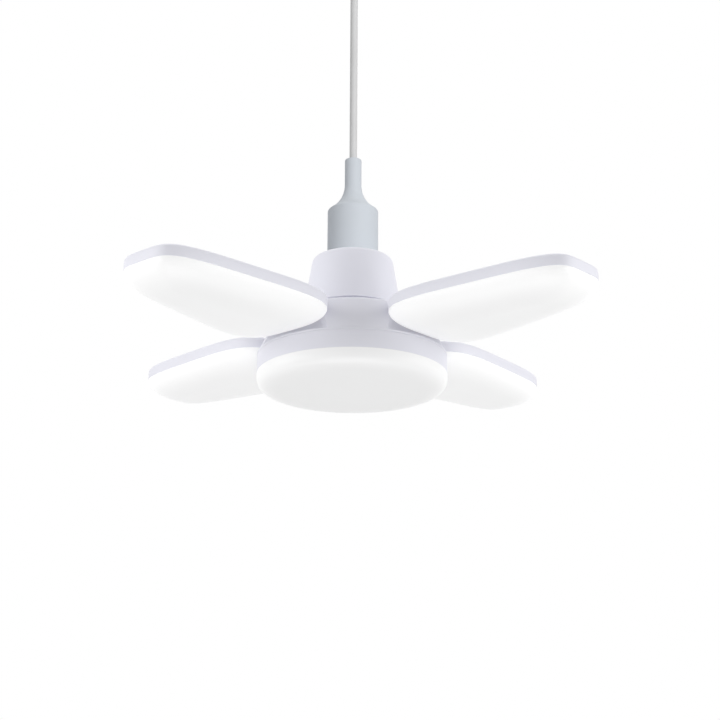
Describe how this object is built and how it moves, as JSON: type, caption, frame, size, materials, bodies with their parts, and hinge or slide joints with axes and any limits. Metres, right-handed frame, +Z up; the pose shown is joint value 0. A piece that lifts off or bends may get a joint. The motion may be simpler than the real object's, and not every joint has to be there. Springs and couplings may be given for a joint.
{
  "type": "folding pendant lamp",
  "caption": "Folding pendant LED lamp: hinged leaves round a centre disc, a bayonet cap in a lampholder, on a cable from a ceiling rose.",
  "frame": {"origin": "centre of the ceiling rose's back face, on the cable's axis", "axes": "+Z up, out of the rose's back face into the ceiling; the leaves point half way between the X and Y axes; the ceiling screws lie along X; the picture looks along about +Y"},
  "size_m": [0.3396, 0.3396, 0.408],
  "materials": {
    "rose_plastic": "smooth moulded white",
    "screw_steel": "zinc plated",
    "wire_brown": "insulated conductor",
    "cable_grey": "satin round flex",
    "holder_grey": "satin moulded",
    "grip_rubber": "matte",
    "core_cream": "moulded thermoset",
    "terminal_brass": "plain",
    "wire_blue": "insulated conductor",
    "barrel_metal": "rolled sheet",
    "plunger_brass": "turned",
    "spring_steel": "plain wire",
    "cap_metal": "drawn and knurled by the crimp",
    "insulator_black": "vitrified black",
    "contact_solder": "soldered",
    "wire_red": "insulated conductor",
    "lamp_white": "satin white with a lavender cast",
    "circuit_green": "solder mask",
    "component_dark": "moulded",
    "led_board": "white solder mask",
    "led_yellow": "phosphor",
    "diffuser_milk": "milky translucent",
    "pin_steel": "straight pin"
  },
  "bodies": {
    "pendant": {"rose_base": "rose_plastic", "rose_cover": "rose_plastic", "rose_terminal_block": "rose_plastic", "rose_cord_clamp": "rose_plastic", "rose_screws": "screw_steel", "rose_wires": "wire_brown", "cable": "cable_grey", "holder_sleeve": "holder_grey", "cord_grip": "grip_rubber", "holder_core": "core_cream", "holder_terminals": "terminal_brass", "holder_terminal_screws": "screw_steel", "holder_wires": "wire_blue", "holder_barrel": "barrel_metal", "holder_ring": "core_cream", "plunger_spring_a": "spring_steel", "plunger_spring_b": "spring_steel"},
    "plunger_a": {"plunger_a": "plunger_brass"},
    "plunger_b": {"plunger_b": "plunger_brass"},
    "lamp": {"bayonet_cap": "cap_metal", "cap_pins": "cap_metal", "cap_insulator": "insulator_black", "cap_contacts": "contact_solder", "cap_collar": "lamp_white", "cap_wires": "wire_red", "hub_cover": "lamp_white", "driver_board": "circuit_green", "driver_parts": "component_dark", "hub_screws": "screw_steel", "hinge_frame": "lamp_white", "base_shell": "lamp_white", "base_screws": "screw_steel", "center_board": "led_board", "center_leds": "led_yellow", "board_screws": "screw_steel", "center_diffuser": "diffuser_milk", "hinge_pin_1": "pin_steel", "hinge_pin_2": "pin_steel", "hinge_pin_3": "pin_steel", "hinge_pin_4": "pin_steel"},
    "leaf_1": {"leaf_shell_1": "lamp_white", "leaf_board_1": "led_board", "leaf_leds_1": "led_yellow", "leaf_screws_1": "screw_steel", "leaf_diffuser_1": "diffuser_milk"},
    "leaf_2": {"leaf_shell_2": "lamp_white", "leaf_board_2": "led_board", "leaf_leds_2": "led_yellow", "leaf_screws_2": "screw_steel", "leaf_diffuser_2": "diffuser_milk"},
    "leaf_3": {"leaf_shell_3": "lamp_white", "leaf_board_3": "led_board", "leaf_leds_3": "led_yellow", "leaf_screws_3": "screw_steel", "leaf_diffuser_3": "diffuser_milk"},
    "leaf_4": {"leaf_shell_4": "lamp_white", "leaf_board_4": "led_board", "leaf_leds_4": "led_yellow", "leaf_screws_4": "screw_steel", "leaf_diffuser_4": "diffuser_milk"}
  },
  "joints": [
    {"name": "lamp_twist", "type": "hinge", "parent": "pendant", "child": "lamp", "pos_m": [0, 0, -0.28], "axis": [0, 0, 1], "range_deg": [-16, 0]},
    {"name": "plunger_a_push", "type": "slide", "parent": "pendant", "child": "plunger_a", "axis": [0, 0, 1], "range_m": [0, 0.002], "stiffness_N_per_m": 1500, "springref_m": -0.002, "deforming": ["plunger_spring_a"]},
    {"name": "plunger_b_push", "type": "slide", "parent": "pendant", "child": "plunger_b", "axis": [0, 0, 1], "range_m": [0, 0.002], "stiffness_N_per_m": 1500, "springref_m": -0.002, "deforming": ["plunger_spring_b"]},
    {"name": "leaf_1_fold", "type": "hinge", "parent": "lamp", "child": "leaf_1", "pos_m": [0.03383, 0.03383, -0.3565], "axis": [0.7071, -0.7071, 0], "range_deg": [-1.5, 88.5]},
    {"name": "leaf_2_fold", "type": "hinge", "parent": "lamp", "child": "leaf_2", "pos_m": [-0.03383, 0.03383, -0.3565], "axis": [0.7071, 0.7071, 0], "range_deg": [-1.5, 88.5]},
    {"name": "leaf_3_fold", "type": "hinge", "parent": "lamp", "child": "leaf_3", "pos_m": [-0.03383, -0.03383, -0.3565], "axis": [-0.7071, 0.7071, 0], "range_deg": [-1.5, 88.5]},
    {"name": "leaf_4_fold", "type": "hinge", "parent": "lamp", "child": "leaf_4", "pos_m": [0.03383, -0.03383, -0.3565], "axis": [-0.7071, -0.7071, 0], "range_deg": [-1.5, 88.5]}
  ]
}
